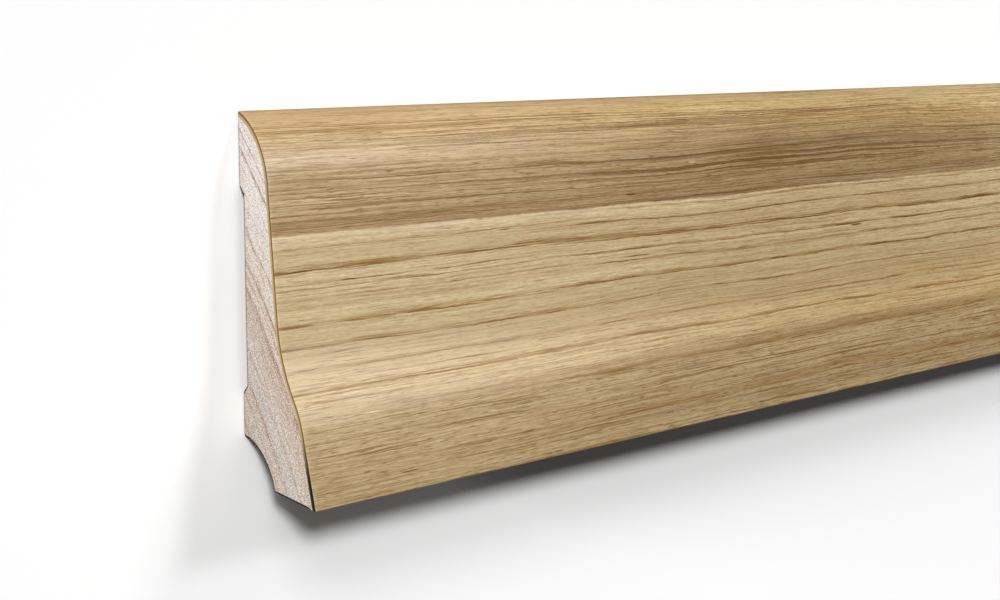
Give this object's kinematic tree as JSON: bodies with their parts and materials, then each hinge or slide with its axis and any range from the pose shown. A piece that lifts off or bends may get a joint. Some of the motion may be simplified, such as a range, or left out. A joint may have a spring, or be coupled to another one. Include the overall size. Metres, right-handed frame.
{
  "type": "skirting board length",
  "caption": "Veneered skirting board length: a softwood core with a relieved back and a hollowed heel, its rounded nose, leaning face and ogee foot wrapped in clear-finished oak.",
  "frame": {"origin": "middle of the back, halfway along the length and halfway up the board, on the plane of the two lands that bear on the wall", "axes": "+X along the length; +Y up the board, from its foot to its nose; +Z out from the wall, from the back to the face. The board lies on its back, so the wall plane is the floor it is stored on"},
  "size_m": [2.5, 0.06, 0.022],
  "materials": {
    "softwood": "planed spruce, raw, with a bare sawn end",
    "oak": "sanded oak veneer under a clear matt lacquer"
  },
  "bodies": {
    "root": {"softwood_core": "softwood", "oak_veneer": "oak"}
  },
  "joints": []
}
